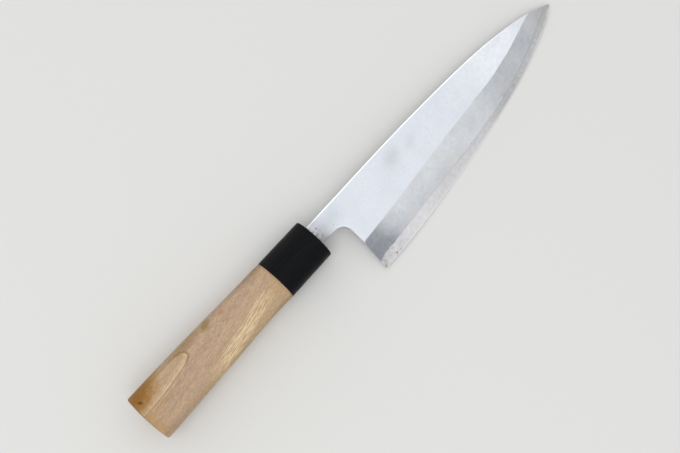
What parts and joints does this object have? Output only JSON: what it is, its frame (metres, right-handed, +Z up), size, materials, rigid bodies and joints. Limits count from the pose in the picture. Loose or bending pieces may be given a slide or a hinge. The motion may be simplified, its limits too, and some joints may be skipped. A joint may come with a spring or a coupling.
{
  "type": "deba knife",
  "caption": "Single-bevel kitchen knife for fish: thick laminated blade with a ground bevel, curved edge and open choil, in an oval wooden grip with a black collar.",
  "frame": {"origin": "centre of the footprint's box, on the surface that the knife lies on", "axes": "the knife lies at rest with its bevelled face up, on the rim of its collar and on one place of its edge: +X runs along the grip to the tip, +Y to the spine, +Z up out of the bevelled face"},
  "size_m": [0.303, 0.0514, 0.0244],
  "materials": {
    "iron": "polished flat side, finely scratched misty bevel",
    "steel": "finely ground, brighter than the iron above it",
    "wood": "bare pale wood, worn smooth, lightly stained",
    "collar": "black, satin from use",
    "seal": "dark resin"
  },
  "bodies": {
    "root": {"blade_iron": "iron", "edge_steel": "steel", "handle_wood": "wood", "collar": "collar", "neck_seal": "seal"}
  },
  "joints": []
}
